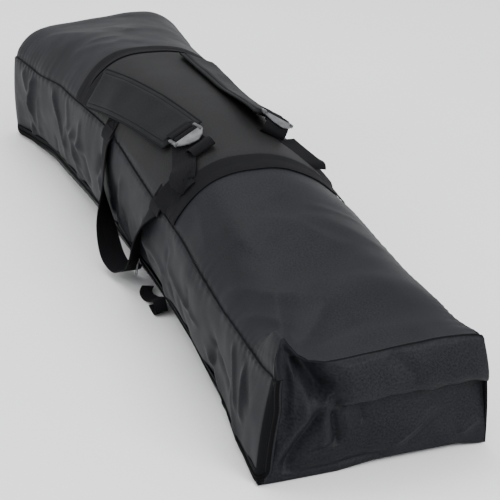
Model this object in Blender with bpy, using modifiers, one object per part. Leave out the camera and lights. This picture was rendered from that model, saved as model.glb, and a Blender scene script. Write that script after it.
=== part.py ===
"""Long black carry bag with a side flap on a U zip, carry handles and shoulder straps."""
import math

import bmesh
import bpy
from mathutils import Vector

# Driving dimensions, in metres. X runs along the bag, near end at +X, flap side at -Y.
LENGTH = 1.264
HALF_TOP = 0.1365
SEAM_Z = 0.172
FABRIC = 0.003
GAP = 0.0003
RISE_FAR_END = 0.016
RISE_MIDDLE = 0.078
RISE_NEAR_END = 0.004
FAR_BAND_X = -0.285
NEAR_BAND_X = 0.180
POWER_END = 7.0
POWER_MIDDLE = 2.4
HALF_FOOT_NEAR = 0.160
HALF_FOOT_FAR = 0.151
HALF_FOOT_MIDDLE = 0.122
FOOT_LIFT_END = 0.004
FOOT_LIFT_MIDDLE = 0.020
FOOT_PLATEAU = 0.27
FOOT_RAMP = 0.30
SIDE_BULGE_END = 0.004
SIDE_BULGE_MIDDLE = 0.012
FLAT_FOOT = 0.095
END_BULGE = 0.010
BACK_PAD = 0.008
WEBBING = 0.038
WEBBING_T = 0.0018

# Zip: a U that runs down both ends of the flap and along its foot.
ZIP_END_INSET = 0.018
ZIP_FOOT = 0.020
ZIP_RADIUS = 0.030
ZIP_TOP_GAP = 0.010
TAPE_T = 0.0012
TAPE_W = 0.0125
COIL_W = 0.0030
COIL_T = 0.0022
SLIDER_L = 0.013
SLIDER_W = 0.0095
SLIDER_T = 0.0022
SLIDER_X = 0.016
SLIDER_HALF_GAP = 0.0105
PULL_L = 0.024
PULL_W = 0.0062
PULL_T = 0.0014
PULL_EYE = 0.0032
BUCKLE_GAP = 0.004

# Carry handle loops.
HANDLE_MID_X = 0.0020
HANDLE_HALF_SPAN = 0.1280
HANDLE_SKEW = 0.0180
HANDLE_DROP = 0.1560
HANDLE_OUT = 0.0078
HANDLE_AXIS_OUT = 0.0016
HANDLE_TAB_L = 0.024

# Shoulder straps.
PAD_W = 0.068
PAD_T = 0.009
PAD_LIFT = 0.0005
LEFT_PAD = ((-0.242, -0.104), (0.058, -0.066))
RIGHT_PAD = ((-0.242, 0.064), (0.040, 0.076))
BUCKLE_W = 0.050
BUCKLE_L = 0.030
BUCKLE_T = 0.0060
BUCKLE_SLOT = 0.0062
BUCKLE_BAR = 0.0050
BUCKLE_LIFT = 0.005
FLOOR_STRAP_W = 0.025


def clear_scene():
    for obj in list(bpy.data.objects):
        bpy.data.objects.remove(obj, do_unlink=True)


def new_collection(name):
    group = bpy.data.collections.new(name)
    bpy.context.scene.collection.children.link(group)
    return group


def smooth(t):
    t = min(1.0, max(0.0, t))
    return t * t * (3.0 - 2.0 * t)


def mix(a, b, t):
    return a + (b - a) * t


def material(name, colour, roughness, metallic=0.0):
    mat = bpy.data.materials.new(name)
    mat.use_nodes = True
    shader = mat.node_tree.nodes["Principled BSDF"]
    shader.inputs["Base Color"].default_value = (*colour, 1.0)
    shader.inputs["Roughness"].default_value = roughness
    shader.inputs["Metallic"].default_value = metallic
    mat.diffuse_color = (*colour, 1.0)
    return mat


def paint(obj, name, colour, roughness, metallic=0.0):
    obj.data.materials.append(material(name, colour, roughness, metallic))
    return obj


def finish_mesh(name, bm, group):
    bmesh.ops.recalc_face_normals(bm, faces=bm.faces)
    mesh = bpy.data.meshes.new(name)
    bm.to_mesh(mesh)
    bm.free()
    obj = bpy.data.objects.new(name, mesh)
    group.objects.link(obj)
    return obj


def slab(name, outer, inner, group):
    """A closed plate between two grids of points of the same size."""
    bm = bmesh.new()
    rows = len(outer)
    cols = len(outer[0])
    top = [[bm.verts.new(p) for p in row] for row in outer]
    low = [[bm.verts.new(p) for p in row] for row in inner]
    for i in range(rows - 1):
        for j in range(cols - 1):
            bm.faces.new((top[i][j], top[i + 1][j], top[i + 1][j + 1], top[i][j + 1]))
            bm.faces.new((low[i][j], low[i][j + 1], low[i + 1][j + 1], low[i + 1][j]))
    for i in range(rows - 1):
        bm.faces.new((top[i][0], low[i][0], low[i + 1][0], top[i + 1][0]))
        bm.faces.new((top[i][-1], top[i + 1][-1], low[i + 1][-1], low[i][-1]))
    for j in range(cols - 1):
        bm.faces.new((top[0][j], top[0][j + 1], low[0][j + 1], low[0][j]))
        bm.faces.new((top[-1][j], low[-1][j], low[-1][j + 1], top[-1][j + 1]))
    return finish_mesh(name, bm, group)


def stations(start, stop, count):
    return [mix(start, stop, i / (count - 1)) for i in range(count)]


def rise(x):
    """Height of the top panel's crown above the seams."""
    half = LENGTH / 2
    if x < FAR_BAND_X:
        return mix(RISE_FAR_END, RISE_MIDDLE, smooth((x + half) / (FAR_BAND_X + half)))
    if x > NEAR_BAND_X:
        return mix(RISE_MIDDLE, RISE_NEAR_END, smooth((x - NEAR_BAND_X) / (half - NEAR_BAND_X)))
    return RISE_MIDDLE


def fullness(x):
    return (rise(x) - RISE_NEAR_END) / (RISE_MIDDLE - RISE_NEAR_END)


def top_point(x, across, depth):
    """A point of the top panel, across from -1 to 1 between the two seams."""
    power = mix(POWER_END, POWER_MIDDLE, smooth(fullness(x)))
    height = (FABRIC + rise(x) - depth) * (1.0 - abs(across) ** power)
    return Vector((x, across * (HALF_TOP - depth), SEAM_Z + GAP + height))


def top_frame(x, across, lift):
    """Point and outward normal on the crown, at a given y fraction."""
    here = top_point(x, across, 0.0)
    side = top_point(x, across + 0.01, 0.0) - top_point(x, across - 0.01, 0.0)
    along = top_point(x + 0.002, across, 0.0) - top_point(x - 0.002, across, 0.0)
    normal = along.cross(side).normalized()
    return here + normal * lift, normal, side.normalized()


def waist(x):
    """1 in the drawn-in middle of the foot, 0 at both ends."""
    return 1.0 - smooth((abs(x) - FOOT_PLATEAU) / FOOT_RAMP)


def half_foot(x):
    end = HALF_FOOT_NEAR if x > 0 else HALF_FOOT_FAR
    return mix(end, HALF_FOOT_MIDDLE, waist(x))


def foot_lift(x):
    return mix(FOOT_LIFT_END, FOOT_LIFT_MIDDLE, waist(x))


def side_point(x, height, depth, sign):
    """A point of a side panel, height measured up from its foot edge."""
    down = 1.0 - height / (SEAM_Z - foot_lift(x))
    bulge = mix(SIDE_BULGE_END, SIDE_BULGE_MIDDLE, waist(x)) * 4.0 * down * (1.0 - down)
    half = mix(HALF_TOP, half_foot(x), down) + bulge - depth
    return Vector((x, sign * half, mix(SEAM_Z, foot_lift(x), down)))


def foot_z(x, y):
    out = (abs(y) - FLAT_FOOT) / (half_foot(x) - FLAT_FOOT)
    return foot_lift(x) * max(0.0, out) ** 1.6


def top_panel(name, start, stop, depth, count, group):
    spread = [math.sin(mix(-1.0, 1.0, j / 16) * math.pi / 2) for j in range(17)]
    outer = []
    inner = []
    for x in stations(start, stop, count):
        outer.append([top_point(x, a, 0.0) for a in spread])
        inner.append([top_point(x, a, min(depth, rise(x) + 0.001)) for a in spread])
    return slab(name, outer, inner, group)


def cross_band(name, centre, group):
    spread = [math.sin(mix(-1.0, 1.0, j / 16) * math.pi / 2) for j in range(1, 16)]
    xs = stations(centre - WEBBING / 2, centre + WEBBING / 2, 5)
    outer = [[top_point(x, a, -2 * GAP - WEBBING_T) for a in spread] for x in xs]
    inner = [[top_point(x, a, -2 * GAP) for a in spread] for x in xs]
    return slab(name, outer, inner, group)


def side_panel(name, sign, group):
    half = LENGTH / 2 - FABRIC - GAP
    outer = []
    inner = []
    for x in stations(-half, half, 37):
        tall = SEAM_Z - foot_lift(x)
        rows = stations(0.0, tall, 9)
        outer.append([side_point(x, h, 0.0, sign) for h in rows])
        inner.append([side_point(x, h, FABRIC, sign) for h in rows])
    return slab(name, outer, inner, group)


def bottom_panel(name, group):
    half = LENGTH / 2 - FABRIC - GAP
    outer = []
    inner = []
    for x in stations(-half, half, 37):
        edge = half_foot(x) - FABRIC - GAP
        ys = stations(-edge, -FLAT_FOOT, 5)
        ys += stations(-FLAT_FOOT, FLAT_FOOT, 5)[1:-1]
        ys += stations(FLAT_FOOT, edge, 5)
        outer.append([Vector((x, y, foot_z(x, y))) for y in ys])
        inner.append([Vector((x, y, foot_z(x, y) + FABRIC)) for y in ys])
    return slab(name, outer, inner, group)


def end_outline(x):
    """The section of the bag at one end, as a loop of (y, z)."""
    spread = [math.sin(mix(1.0, -1.0, j / 12) * math.pi / 2) for j in range(13)]
    loop = [(top_point(x, a, 0.0).y, top_point(x, a, 0.0).z) for a in spread]
    tall = SEAM_Z - foot_lift(x)
    for h in stations(tall, 0.0, 7)[1:]:
        point = side_point(x, h, 0.0, -1.0)
        loop.append((point.y, point.z))
    for y in stations(-half_foot(x), half_foot(x), 11)[1:-1]:
        loop.append((y, foot_z(x, y)))
    for h in stations(0.0, tall, 7)[:-1]:
        point = side_point(x, h, 0.0, 1.0)
        loop.append((point.y, point.z))
    return loop


def end_panel(name, sign, group):
    """A slightly bulged plate that closes one end of the bag."""
    x0 = sign * (LENGTH / 2 - FABRIC)
    loop = end_outline(sign * (LENGTH / 2 - FABRIC - GAP))
    middle = (0.0, SEAM_Z / 2)
    bm = bmesh.new()
    sheets = []
    for offset in (0.0, FABRIC):
        rings = []
        for k in range(6):
            s = 1.0 - k / 6
            out = offset + END_BULGE * (1.0 - s * s)
            ring = [(mix(middle[0], y, s), mix(middle[1], z, s)) for y, z in loop]
            rings.append([bm.verts.new((x0 + sign * out, y, z)) for y, z in ring])
        tip = bm.verts.new((x0 + sign * (offset + END_BULGE), middle[0], middle[1]))
        sheets.append((rings, tip))
    count = len(loop)
    for rings, tip in sheets:
        for k in range(5):
            for j in range(count):
                n = (j + 1) % count
                quad = (rings[k][j], rings[k][n], rings[k + 1][n], rings[k + 1][j])
                bm.faces.new(quad)
        for j in range(count):
            bm.faces.new((rings[5][j], rings[5][(j + 1) % count], tip))
    inner = sheets[0][0][0]
    outer = sheets[1][0][0]
    for j in range(count):
        n = (j + 1) % count
        bm.faces.new((inner[j], inner[n], outer[n], outer[j]))
    return finish_mesh(name, bm, group)


def zip_outline(offset, radius):
    """The zip's U at a distance inside the coil line, as (x, height) points."""
    end = LENGTH / 2 - FABRIC - GAP - ZIP_END_INSET - offset
    low = ZIP_FOOT + offset
    top = SEAM_Z - FOOT_LIFT_END - ZIP_TOP_GAP
    right = [(end, mix(top, low + radius, i / 6)) for i in range(6)]
    arc = []
    for i in range(7):
        turn = math.pi / 2 * i / 6
        step = (end - radius + radius * math.cos(turn), low + radius - radius * math.sin(turn))
        arc.append(step)
    half = right + arc
    floor = [(x, low) for x in stations(end - radius, radius - end, 37)[1:-1]]
    mirror = [(-x, h) for x, h in reversed(half)]
    return half + floor + mirror


def zip_strip(name, near, far, low, high, group, square=False):
    """A strip of the zip between two offsets from the coil line."""
    first = zip_outline(near, ZIP_RADIUS - near)
    radius = 0.004 if square else ZIP_RADIUS - far
    second = zip_outline(far, radius)
    outer = []
    inner = []
    for (xa, ha), (xb, hb) in zip(first, second):
        outer.append([side_point(xa, ha, low, -1.0), side_point(xb, hb, low, -1.0)])
        inner.append([side_point(xa, ha, high, -1.0), side_point(xb, hb, high, -1.0)])
    return slab(name, outer, inner, group)


def flap_panel(name, group):
    """The opening side panel, inside the U of the zip."""
    offset = TAPE_W + 2 * GAP
    end = LENGTH / 2 - FABRIC - GAP - ZIP_END_INSET - offset
    low = ZIP_FOOT + offset
    radius = ZIP_RADIUS - offset
    turn = [end - radius + radius * math.sin(math.pi / 2 * i / 5) for i in range(6)]
    xs = [-x for x in reversed(turn)] + stations(radius - end, end - radius, 35)[1:-1] + turn
    outer = []
    inner = []
    for x in xs:
        past = max(0.0, abs(x) - (end - radius))
        foot = low + radius - math.sqrt(max(0.0, radius * radius - past * past))
        tall = SEAM_Z - foot_lift(x) - GAP
        rows = stations(foot, tall, 9)
        outer.append([side_point(x, h, 0.0, -1.0) for h in rows])
        inner.append([side_point(x, h, FABRIC, -1.0) for h in rows])
    return slab(name, outer, inner, group)


def ribbon(name, path, widths, width, thick, group):
    """Webbing of constant width along a path, with its width direction at every point."""
    outer = []
    inner = []
    for i, point in enumerate(path):
        ahead = path[min(i + 1, len(path) - 1)] - path[max(i - 1, 0)]
        tangent = ahead.normalized()
        across = (widths[i] - tangent * widths[i].dot(tangent)).normalized()
        normal = tangent.cross(across).normalized()
        left = point - across * width / 2
        right = point + across * width / 2
        outer.append([left + normal * thick / 2, right + normal * thick / 2])
        inner.append([left - normal * thick / 2, right - normal * thick / 2])
    return slab(name, outer, inner, group)


def handle_loop(name, sign, group):
    """A webbing loop that hangs from two points of a top seam and turns to stand on edge."""
    path = []
    widths = []
    axis = Vector((0.0, sign * (HALF_TOP + HANDLE_AXIS_OUT), SEAM_Z))
    for i in range(37):
        turn = math.pi * i / 36
        deep = math.sin(turn)
        x = HANDLE_MID_X - HANDLE_HALF_SPAN * math.cos(turn) - HANDLE_SKEW * deep * deep
        twist = smooth((deep - 0.10) / 0.55) * math.pi / 2
        out = WEBBING / 2 * math.sin(twist) + HANDLE_OUT * smooth(deep * 6.5)
        path.append(axis + Vector((x, sign * out, -HANDLE_DROP * deep ** 0.9)))
        widths.append(Vector((math.cos(twist), -sign * math.sin(twist), 0.0)))
    return ribbon(name, path, widths, WEBBING, WEBBING_T, group)


def handle_tab(name, x, sign, group):
    """The end of a handle's webbing, sewn on to the crown beside the seam."""
    xs = stations(x - WEBBING / 2, x + WEBBING / 2, 3)
    edge = 0.983
    start = edge - HANDLE_TAB_L / HALF_TOP * 0.62
    spread = stations(sign * start, sign * edge, 5)
    outer = [[top_point(a, b, -GAP - WEBBING_T) for b in spread] for a in xs]
    inner = [[top_point(a, b, -GAP) for b in spread] for a in xs]
    return slab(name, outer, inner, group)


def strap_frame(ends, along):
    """Centre point, run direction, across direction and normal of a strap at a fraction."""
    places = []
    for step in (0.0, 0.01):
        x = mix(ends[0][0], ends[1][0], along + step)
        y = mix(ends[0][1], ends[1][1], along + step)
        places.append(top_frame(x, y / HALF_TOP, 0.0))
    point, normal, _ = places[0]
    run = places[1][0] - point
    run = (run - normal * run.dot(normal)).normalized()
    return point, run, normal.cross(run).normalized(), normal


def pad_slab(name, ends, group):
    outer = []
    inner = []
    for i in range(15):
        along = i / 14
        point, _, side, normal = strap_frame(ends, along)
        row_high = []
        row_low = []
        for j in range(5):
            t = j / 2 - 1.0
            edge = smooth((1.0 - abs(t)) * 3.0)
            thick = PAD_T * mix(0.45, 1.0, edge)
            here = point + side * (t * PAD_W / 2)
            row_low.append(here + normal * PAD_LIFT)
            row_high.append(here + normal * (PAD_LIFT + thick))
        outer.append(row_high)
        inner.append(row_low)
    return slab(name, outer, inner, group)


def box_points(centre, along, across, up, size):
    points = []
    for a in (-0.5, 0.5):
        for b in (-0.5, 0.5):
            for c in (-0.5, 0.5):
                shift = along * (a * size[0]) + across * (b * size[1]) + up * (c * size[2])
                points.append(centre + shift)
    return points


def box_between(name, centre, along, across, up, size, group):
    p = box_points(centre, along, across, up, size)
    outer = [[p[1], p[3]], [p[5], p[7]]]
    inner = [[p[0], p[2]], [p[4], p[6]]]
    return slab(name, outer, inner, group)


def cut(obj, tool, cutters):
    for group in list(tool.users_collection):
        group.objects.unlink(tool)
    cutters.objects.link(tool)
    tool.hide_render = True
    tool.display_type = "WIRE"
    mod = obj.modifiers.new("cut_" + tool.name, "BOOLEAN")
    mod.operation = "DIFFERENCE"
    mod.solver = "EXACT"
    mod.object = tool


def buckle(name, ends, group, cutters):
    """A ladder-lock: a frame with two slots across it."""
    point, along, across, normal = strap_frame(ends, 1.0)
    centre = point + along * (BUCKLE_GAP + BUCKLE_L / 2)
    centre += normal * (BUCKLE_LIFT + BUCKLE_T / 2)
    size = (BUCKLE_L, BUCKLE_W, BUCKLE_T)
    obj = box_between(name, centre, along, across, normal, size, group)
    for i, shift in enumerate((-1.0, 1.0)):
        middle = centre + along * (shift * (BUCKLE_SLOT + BUCKLE_BAR) / 2)
        hole = (BUCKLE_SLOT, WEBBING + 0.002, BUCKLE_T * 3)
        tool = box_between(f"{name}_slot_{i}", middle, along, across, normal, hole, group)
        cut(obj, tool, cutters)
    return obj


def strap_tail(name, ends, group):
    """The loose end of webbing that curls up beyond the buckle."""
    point, along, across, normal = strap_frame(ends, 1.0)
    start = point + along * (BUCKLE_GAP + BUCKLE_L + 0.0018)
    start += normal * (BUCKLE_LIFT + BUCKLE_T)
    path = []
    for i in range(17):
        turn = math.pi * 1.15 * i / 16
        reach = 0.020 * math.sin(turn) + 0.010 * i / 16
        drop = 0.0070 * (1.0 - math.cos(turn))
        path.append(start + along * reach + normal * (0.0015 - drop * 0.52))
    return ribbon(name, path, [across] * len(path), WEBBING, WEBBING_T, group)


def strap_anchor(name, ends, group):
    """Short webbing between the cross band and the far end of a pad."""
    y = ends[0][1]
    xs = stations(FAR_BAND_X + WEBBING / 2 + GAP, ends[0][0] - 0.0085, 3)
    spread = stations(y / HALF_TOP - 0.11, y / HALF_TOP + 0.11, 7)
    outer = [[top_point(x, a, -2 * GAP - WEBBING_T) for a in spread] for x in xs]
    inner = [[top_point(x, a, -2 * GAP) for a in spread] for x in xs]
    return slab(name, outer, inner, group)


def adjuster(name, ends, sign, group):
    """Webbing that lies on the crown between a seam and a buckle."""
    point, along, across, normal = strap_frame(ends, 1.0)
    finish = point + along * (BUCKLE_L + 0.010)
    edge_x = HANDLE_MID_X + HANDLE_HALF_SPAN + 0.018
    outer = []
    inner = []
    for i in range(13):
        t = i / 12
        x = mix(edge_x, finish.x, t)
        a = mix(sign * 0.762, finish.y / HALF_TOP, t)
        half = mix(0.10, 0.135, t)
        spread = stations(a - half, a + half, 7)
        outer.append([top_point(x, b, -2 * GAP - WEBBING_T) for b in spread])
        inner.append([top_point(x, b, -2 * GAP) for b in spread])
    return slab(name, outer, inner, group)


def floor_strap(name, group):
    """A short webbing tether that lies on the floor beside the foot of the flap."""
    path = []
    start = Vector((0.064, -HALF_FOOT_MIDDLE - 0.012, 0.0030))
    for i in range(9):
        t = i / 8
        path.append(start + Vector((0.058 * t, -0.004 * t, 0.0)))
    for i in range(1, 13):
        turn = math.pi * 1.72 * i / 12
        lift = 0.0125 * (1.0 - math.cos(turn))
        path.append(start + Vector((0.058 + 0.0165 * math.sin(turn), -0.004, lift)))
    widths = [Vector((0.0, 1.0, 0.0))] * len(path)
    return ribbon(name, path, widths, FLOOR_STRAP_W, WEBBING_T, group)


def slider(name, x, group):
    """The outer plate of a zip slider with the post that carries its pull."""
    point = side_point(x, ZIP_FOOT, -GAP - COIL_T - GAP - SLIDER_T / 2, -1.0)
    up = side_point(x, ZIP_FOOT + 0.004, 0.0, -1.0) - side_point(x, ZIP_FOOT - 0.004, 0.0, -1.0)
    up = up.normalized()
    along = Vector((1.0, 0.0, 0.0))
    out = up.cross(along).normalized()
    if out.y > 0:
        out = -out
    obj = box_between(name, point, along, up, out, (SLIDER_L, SLIDER_W, SLIDER_T), group)
    return obj, point, out


def add_bevel(obj, width, segments):
    mod = obj.modifiers.new("soft edges", "BEVEL")
    mod.width = width
    mod.segments = segments
    mod.limit_method = "ANGLE"


def pull_plate(name, hinge, group, cutters):
    """A flat pull with an eye near its end, hanging from the slider's post."""
    down = Vector((0.0, 0.0, -1.0))
    across = Vector((1.0, 0.0, 0.0))
    face = Vector((0.0, -1.0, 0.0))
    centre = hinge + down * (PULL_L / 2 - 0.0011)
    obj = box_between(name, centre, down, across, face, (PULL_L, PULL_W, PULL_T), group)
    hole = hinge + down * (PULL_L - 0.0072)
    size = (2 * PULL_EYE, PULL_EYE, 8 * PULL_T)
    tool = box_between(f"{name}_eye", hole, down, across, face, size, group)
    cut(obj, tool, cutters)
    return obj


def hinge_empty(name, place, group):
    empty = bpy.data.objects.new(name, None)
    empty.location = place
    group.objects.link(empty)
    return empty


def build_shell(bag):
    half = LENGTH / 2 - FABRIC - GAP
    cloth = (0.035, 0.036, 0.039)
    parts = [
        top_panel("top_panel_far", -half, FAR_BAND_X - GAP / 2, FABRIC, 13, bag),
        top_panel("back_pad", FAR_BAND_X + GAP / 2, NEAR_BAND_X - GAP / 2, BACK_PAD, 7, bag),
        top_panel("top_panel_near", NEAR_BAND_X + GAP / 2, half, FABRIC, 15, bag),
        side_panel("right_side_panel", 1.0, bag),
        bottom_panel("bottom_panel", bag),
        end_panel("near_end_panel", 1.0, bag),
        end_panel("far_end_panel", -1.0, bag),
        flap_panel("side_flap", bag),
    ]
    for part in parts:
        paint(part, part.name + "_polyester", cloth, 0.62)
    for name, x in (("cross_band_far", FAR_BAND_X), ("cross_band_near", NEAR_BAND_X)):
        paint(cross_band(name, x, bag), name + "_webbing", (0.020, 0.020, 0.022), 0.75)


def build_zip(bag, cutters):
    tape = (0.018, 0.018, 0.020)
    coil = (0.045, 0.045, 0.048)
    edge = -(ZIP_END_INSET - GAP)
    strips = (
        ("zip_tape_body", -GAP / 2, edge, 0.0, TAPE_T, tape, 0.8, True),
        ("zip_tape_flap", GAP / 2, TAPE_W, 0.0, TAPE_T, tape, 0.8, False),
        ("zip_coil_body", -GAP / 2, -COIL_W, -GAP - COIL_T, -GAP, coil, 0.45, False),
        ("zip_coil_flap", GAP / 2, COIL_W, -GAP - COIL_T, -GAP, coil, 0.45, False),
    )
    for name, near, far, low, high, colour, rough, square in strips:
        strip = zip_strip(name, near, far, low, high, bag, square)
        paint(strip, name + "_nylon", colour, rough)
    metal = (0.35, 0.35, 0.36)
    for name, sign in (("near", 1.0), ("far", -1.0)):
        x = SLIDER_X + sign * SLIDER_HALF_GAP
        body, point, out = slider(f"zip_slider_{name}", x, bag)
        add_bevel(body, 0.0006, 2)
        paint(body, f"zip_slider_{name}_metal", metal, 0.35, 1.0)
        hinge = point + out * (SLIDER_T / 2 + 2 * GAP) + Vector((0.0, -PULL_T, 0.0))
        pull = pull_plate(f"zip_pull_{name}", hinge, bag, cutters)
        paint(pull, f"zip_pull_{name}_metal", metal, 0.35, 1.0)


def build_handles(bag):
    web = (0.016, 0.016, 0.018)
    for side, sign in (("left", -1.0), ("right", 1.0)):
        paint(handle_loop(f"{side}_handle", sign, bag), f"{side}_handle_webbing", web, 0.8)
        ends = (("far", -1.0), ("near", 1.0))
        for end, way in ends:
            x = HANDLE_MID_X + way * HANDLE_HALF_SPAN
            tab = handle_tab(f"{side}_handle_tab_{end}", x, sign, bag)
            paint(tab, tab.name + "_webbing", web, 0.8)
    paint(floor_strap("floor_tether", bag), "floor_tether_webbing", web, 0.8)


def build_straps(bag, cutters):
    web = (0.016, 0.016, 0.018)
    for side, ends, sign in (("left", LEFT_PAD, -1.0), ("right", RIGHT_PAD, 1.0)):
        pad = pad_slab(f"{side}_strap_pad", ends, bag)
        paint(pad, pad.name + "_polyester", (0.030, 0.031, 0.034), 0.65)
        lock = buckle(f"{side}_strap_buckle", ends, bag, cutters)
        paint(lock, lock.name + "_plastic", (0.06, 0.06, 0.062), 0.3)
        tail = strap_tail(f"{side}_strap_tail", ends, bag)
        paint(tail, tail.name + "_webbing", web, 0.8)
        root = strap_anchor(f"{side}_strap_anchor", ends, bag)
        paint(root, root.name + "_webbing", web, 0.8)
        run = adjuster(f"{side}_strap_adjuster", ends, sign, bag)
        paint(run, run.name + "_webbing", web, 0.8)


def main():
    clear_scene()
    bag = new_collection("carry_bag")
    cutters = new_collection("cutters")
    build_shell(bag)
    build_zip(bag, cutters)
    build_handles(bag)
    build_straps(bag, cutters)


main()
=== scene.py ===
"""Long black carry bag: the shell, its zip, webbing and straps, and their cloth."""
import math
import random

import bmesh
import bpy
from mathutils import Matrix, Vector, noise


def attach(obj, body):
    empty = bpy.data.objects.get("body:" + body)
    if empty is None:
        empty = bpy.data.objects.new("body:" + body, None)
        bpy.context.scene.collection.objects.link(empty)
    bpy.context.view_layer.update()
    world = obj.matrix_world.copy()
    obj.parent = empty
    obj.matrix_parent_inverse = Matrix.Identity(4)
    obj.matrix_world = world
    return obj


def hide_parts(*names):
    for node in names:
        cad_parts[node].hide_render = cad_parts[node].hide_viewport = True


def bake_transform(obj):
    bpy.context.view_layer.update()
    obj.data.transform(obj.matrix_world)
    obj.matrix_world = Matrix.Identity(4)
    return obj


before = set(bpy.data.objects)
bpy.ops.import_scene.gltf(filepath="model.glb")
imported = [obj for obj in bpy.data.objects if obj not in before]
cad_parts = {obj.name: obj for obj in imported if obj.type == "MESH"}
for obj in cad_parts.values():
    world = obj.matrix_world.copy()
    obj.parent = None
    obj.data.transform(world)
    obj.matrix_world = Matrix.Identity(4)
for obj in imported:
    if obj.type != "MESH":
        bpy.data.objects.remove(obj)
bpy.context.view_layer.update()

MM = 0.001
HALF = 0.632              # half the bag's length
SIDE_TALL = 0.165         # a side's cloth, from its top seam down to the foot
CLOTH_T = 1.2 * MM        # the coated cloth
ZIP_INSET = -0.0035       # the coil turns up this far past the corners, on the ends
ZIP_UP = 0.020            # coil line above the foot edge along the middle
ZIP_UP_ENDS = 0.0085      # and beside the corners
ZIP_TOP = 0.1638          # height at which the coil stops, just under the top seam
ZIP_R = 0.016             # radius of the zip's corners
TAPE_W = 12.5 * MM        # one half of the zip's tape
WEB = 38 * MM             # webbing width
WEB_T = 1.8 * MM
BUCKLE_WEB = 0.0375       # webbing through the buckles
TETHER_W = 0.019          # width of the floor tether
BAND_FAR = -0.285         # middle lines of the two cross bands
BAND_NEAR = 0.188
WAVE = 0.314              # a wave texture of scale 1 repeats about every 0.314 m


# ---------------------------------------------------------------- helpers
def smooth(t):
    t = min(1.0, max(0.0, t))
    return t * t * (3.0 - 2.0 * t)


def mix(a, b, t):
    return a + (b - a) * t


def through(keys, x):
    """A soft curve through (x, value) keys."""
    if x <= keys[0][0]:
        return keys[0][1]
    for (x0, v0), (x1, v1) in zip(keys, keys[1:]):
        if x <= x1:
            t = (x - x0) / (x1 - x0)
            return mix(v0, v1, smooth(t) * 0.5 + t * 0.5)
    return keys[-1][1]


def start_fresh():
    if bpy.context.mode != "OBJECT":
        bpy.ops.object.mode_set(mode="OBJECT")
    bpy.ops.object.select_all(action="DESELECT")


def finish_piece(name, mat, body, stands_for=(), smooth_angle=60, inner=None):
    """Name the active piece, give it its finish and hang it on its body."""
    obj = bpy.context.object
    obj.name = name
    obj.data.name = name
    bpy.ops.object.transform_apply(location=True, rotation=True, scale=True)
    obj.data.materials.append(mat)
    if inner:
        obj.data.materials.append(inner)
    bpy.ops.object.shade_smooth_by_angle(angle=math.radians(smooth_angle))
    if body:
        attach(obj, body)
    if stands_for:
        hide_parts(*stands_for)
    return obj


def grid_sheet(across, down, place, size):
    """A grid of cloth, each corner of it put where place(u, v) says; u, v from 0 to 1.
    Its UV map is in metres, over a cloth of the given size."""
    start_fresh()
    bpy.ops.mesh.primitive_grid_add(x_subdivisions=across, y_subdivisions=down, size=2)
    obj = bpy.context.object
    spots = [(v.co.x / 2 + 0.5, v.co.y / 2 + 0.5) for v in obj.data.vertices]
    layer = obj.data.uv_layers.active.data
    for loop in obj.data.loops:
        u, v = spots[loop.vertex_index]
        layer[loop.index].uv = (u * size[0], v * size[1])
    for vert, (u, v) in zip(obj.data.vertices, spots):
        vert.co = place(u, v)
        vert.co.z = max(vert.co.z, ON_FLOOR)
    obj.data.update()


def thicken(depth, offset=-1.0):
    """Give the active cloth its thickness, inwards unless the offset says otherwise."""
    mod = bpy.context.object.modifiers.new("thickness", "SOLIDIFY")
    mod.thickness = depth
    mod.offset = offset
    mod.use_even_offset = False
    bpy.ops.object.modifier_apply(modifier=mod.name)


def thicken_and_line():
    """Thicken inwards; the second set of faces is the inner one and takes the lining."""
    count = len(bpy.context.object.data.polygons)
    thicken(CLOTH_T)
    for poly in bpy.context.object.data.polygons[count:2 * count]:
        poly.material_index = 1


def merge_close(distance=0.0001):
    """Close the seam of a rolled-up sheet and point its faces outwards."""
    obj = bpy.context.object
    bm = bmesh.new()
    bm.from_mesh(obj.data)
    bmesh.ops.remove_doubles(bm, verts=bm.verts, dist=distance)
    bmesh.ops.recalc_face_normals(bm, faces=bm.faces)
    bm.to_mesh(obj.data)
    bm.free()


def piece_from(bm, name, mat, body, stands_for=(), angle=50):
    start_fresh()
    bpy.ops.mesh.primitive_cube_add(size=1)
    bm.to_mesh(bpy.context.object.data)
    bm.free()
    finish_piece(name, mat, body, stands_for, angle)


def block(bm, centre, axes, size):
    """A block of the given size, its edges along three axes."""
    turn = Matrix(axes).transposed().to_4x4()
    return bmesh.ops.create_cube(
        bm, size=1.0, matrix=Matrix.Translation(centre) @ turn @ Matrix.Diagonal((*size, 1.0)))


def bar(bm, a, b, up, wide, tall, bevel):
    """A rounded bar from a to b, wide across and tall along up."""
    run = (b - a).normalized()
    out = (up - run * up.dot(run)).normalized()
    made = block(bm, (a + b) / 2, (run, out.cross(run), out), ((b - a).length, wide, tall))
    edges = {e for v in made["verts"] for e in v.link_edges}
    bmesh.ops.bevel(bm, geom=list(edges), offset=bevel, segments=3, affect="EDGES", profile=0.5)


# ---------------------------------------------------------------- finishes
def linear(code):
    """sRGB hex to linear RGBA."""
    parts = [int(code[i:i + 2], 16) / 255 for i in (0, 2, 4)]
    shares = [c / 12.92 if c <= 0.04045 else ((c + 0.055) / 1.055) ** 2.4 for c in parts]
    return (*shares, 1.0)


def node(mat, kind, links=(), stops=(), **settings):
    """Add one node, set its fields and sockets, link (output, input) pairs into it, and
    give it its (place, sRGB hex) stops where it is a colour ramp."""
    tree = mat.node_tree
    made = tree.nodes.new(kind)
    for key, value in settings.items():
        if key.startswith("in_"):
            socket = key[3:].replace("_", " ")
            made.inputs[int(socket) if socket.isdigit() else socket].default_value = value
        else:
            setattr(made, key, value)
    for source, target in links:
        tree.links.new(source, made.inputs[target])
    for k, (place, code) in enumerate(stops):
        made.color_ramp.elements[k].position = place
        made.color_ramp.elements[k].color = linear(code)
    return made


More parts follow.
